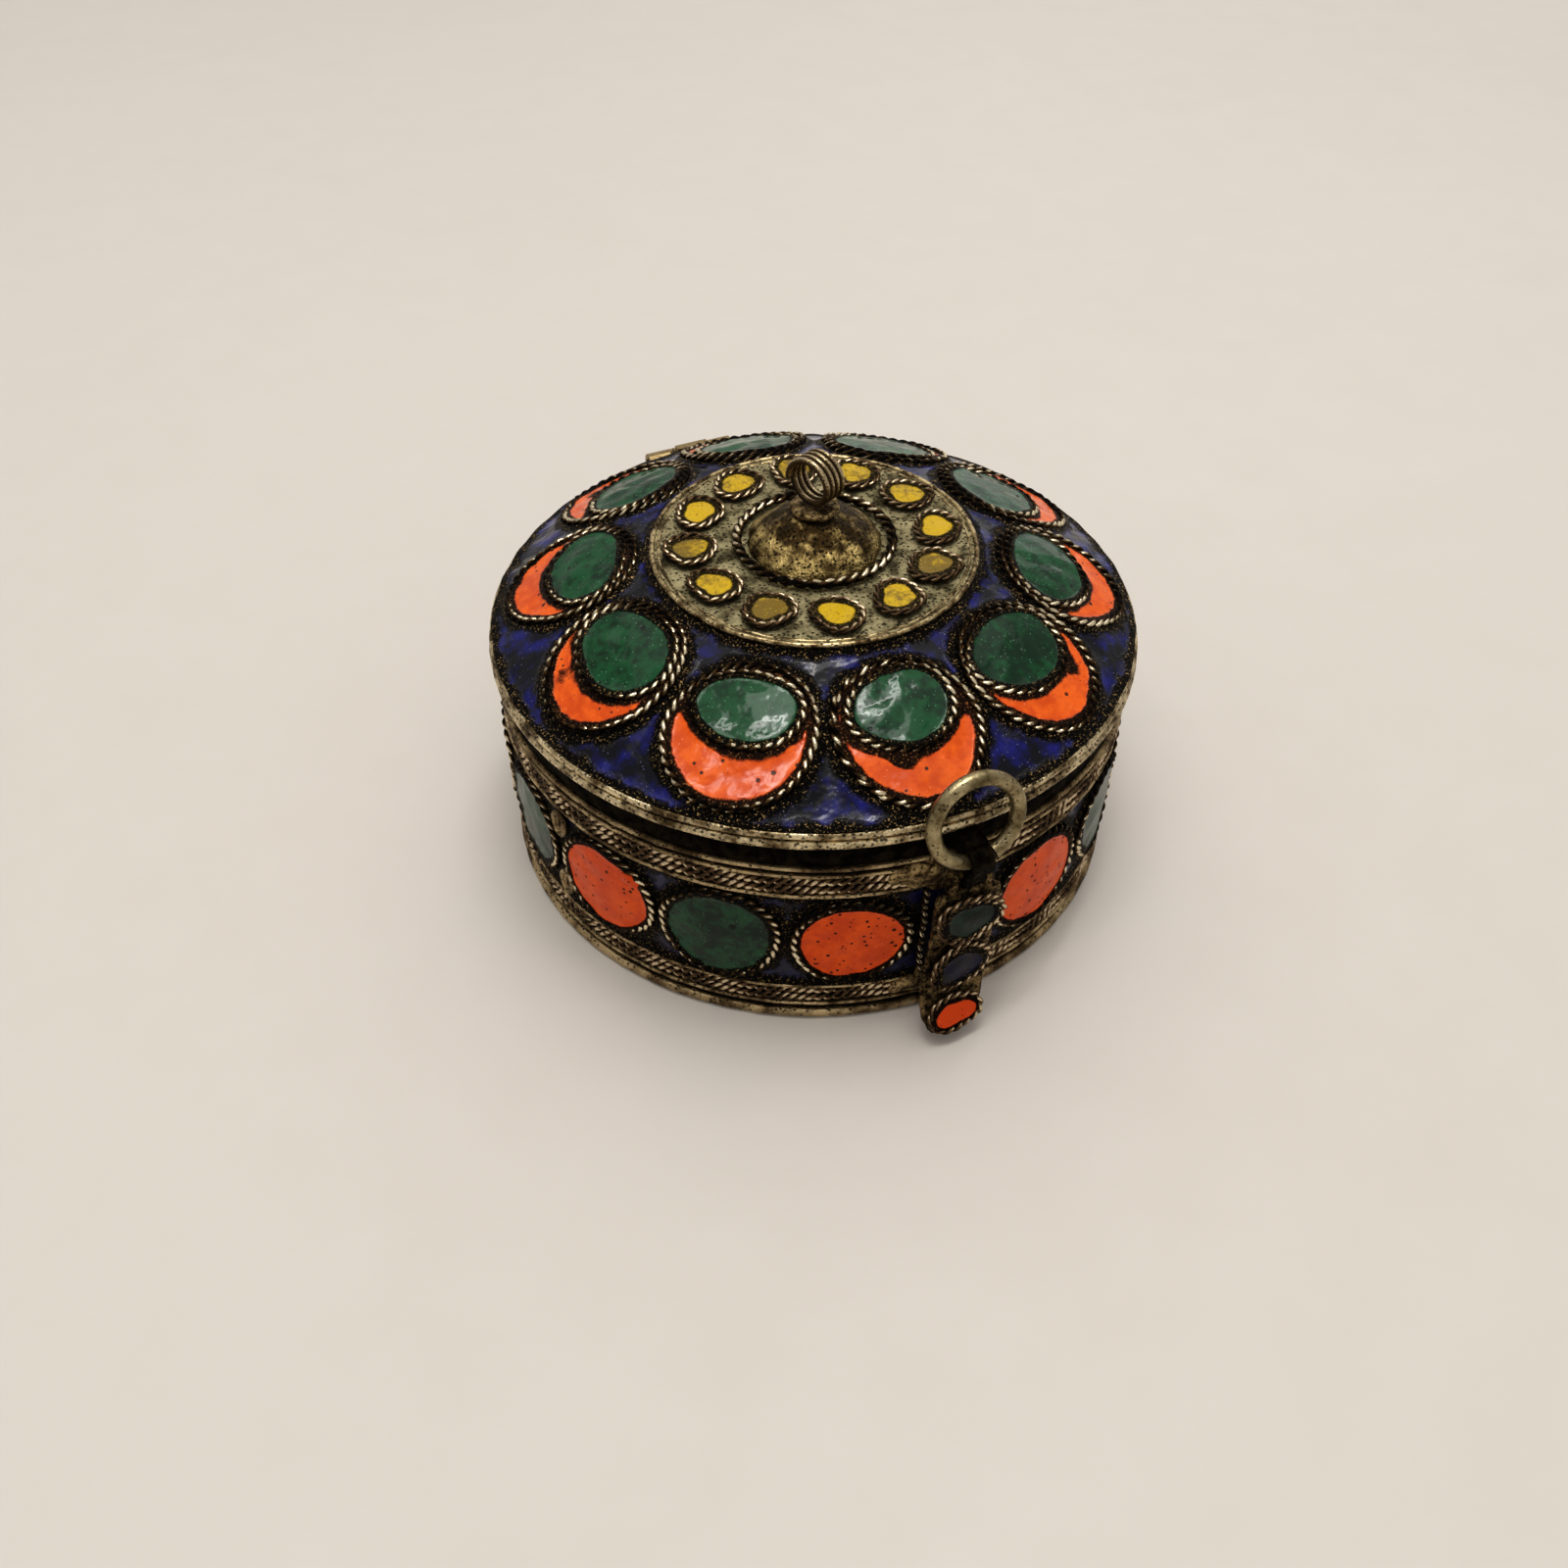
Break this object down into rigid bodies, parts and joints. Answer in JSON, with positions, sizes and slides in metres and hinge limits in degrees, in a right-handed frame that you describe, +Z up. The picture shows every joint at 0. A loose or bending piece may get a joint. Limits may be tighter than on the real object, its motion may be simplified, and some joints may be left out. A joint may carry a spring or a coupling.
{
  "type": "enamel pill box",
  "caption": "Round metal box with enamel cells in twisted wire, a hinged domed lid with a coil finial, a hanging hasp and a pull ring.",
  "frame": {"origin": "centre of the drum's underside, where it stands", "axes": "+Z up along the box's axis; the hasp and the pull ring face -Y, the hinge +Y"},
  "size_m": [0.076, 0.0852, 0.0514],
  "materials": {
    "tarnished_brass": "tarnished, satin",
    "blue_enamel": "glossy",
    "green_enamel": "glossy",
    "orange_enamel": "glossy, pitted",
    "yellow_enamel": "glossy, speckled"
  },
  "bodies": {
    "box": {"drum": "blue_enamel", "base_rim": "tarnished_brass", "lower_band": "tarnished_brass", "upper_band": "tarnished_brass", "wall_cell_01": "orange_enamel", "wall_cell_02": "green_enamel", "wall_cell_03": "orange_enamel", "wall_cell_04": "green_enamel", "wall_cell_05": "orange_enamel", "wall_cell_06": "green_enamel", "wall_cell_07": "orange_enamel", "wall_cell_08": "orange_enamel", "wall_cell_09": "green_enamel", "wall_cell_10": "orange_enamel", "wall_cell_11": "green_enamel", "wall_cell_12": "orange_enamel", "wall_cell_13": "green_enamel", "wall_cell_14": "orange_enamel", "wall_loop_upper": "tarnished_brass", "wall_loop_lower": "tarnished_brass", "seam_post": "tarnished_brass", "box_hinge": "tarnished_brass", "hinge_pin": "tarnished_brass"},
    "lid": {"lid_dome": "blue_enamel", "lid_rim": "tarnished_brass", "lid_petal_01": "green_enamel", "lid_petal_02": "green_enamel", "lid_petal_03": "green_enamel", "lid_petal_04": "green_enamel", "lid_petal_05": "green_enamel", "lid_petal_06": "green_enamel", "lid_petal_07": "green_enamel", "lid_petal_08": "green_enamel", "lid_petal_09": "green_enamel", "lid_petal_10": "green_enamel", "plaque": "tarnished_brass", "plaque_cell_01": "yellow_enamel", "plaque_cell_02": "yellow_enamel", "plaque_cell_03": "yellow_enamel", "plaque_cell_04": "yellow_enamel", "plaque_cell_05": "yellow_enamel", "plaque_cell_06": "yellow_enamel", "plaque_cell_07": "yellow_enamel", "plaque_cell_08": "yellow_enamel", "plaque_cell_09": "yellow_enamel", "plaque_cell_10": "yellow_enamel", "plaque_cell_11": "yellow_enamel", "plaque_cell_12": "yellow_enamel", "boss": "tarnished_brass", "boss_rope": "tarnished_brass", "finial_collar": "tarnished_brass", "finial_coil": "tarnished_brass", "lid_hinge": "tarnished_brass", "hasp_lug": "tarnished_brass"},
    "hasp": {"hasp_plate": "tarnished_brass", "hasp_cell_upper": "green_enamel", "hasp_cell_lower": "blue_enamel", "hasp_cell_tip": "orange_enamel"},
    "ring": {"pull_ring": "tarnished_brass"}
  },
  "joints": [
    {"name": "lid_hinge", "type": "hinge", "parent": "box", "child": "lid", "pos_m": [0, 0.0398, 0.02785], "axis": [-1, 0, 0], "range_deg": [0, 100]},
    {"name": "hasp_hinge", "type": "hinge", "parent": "lid", "child": "hasp", "pos_m": [0, -0.0392, 0.0228], "axis": [-1, 0, 0], "range_deg": [0, 75]},
    {"name": "ring_hinge", "type": "hinge", "parent": "lid", "child": "ring", "pos_m": [0, -0.0401, 0.0255], "axis": [1, 0, 0], "range_deg": [0, 95]}
  ]
}
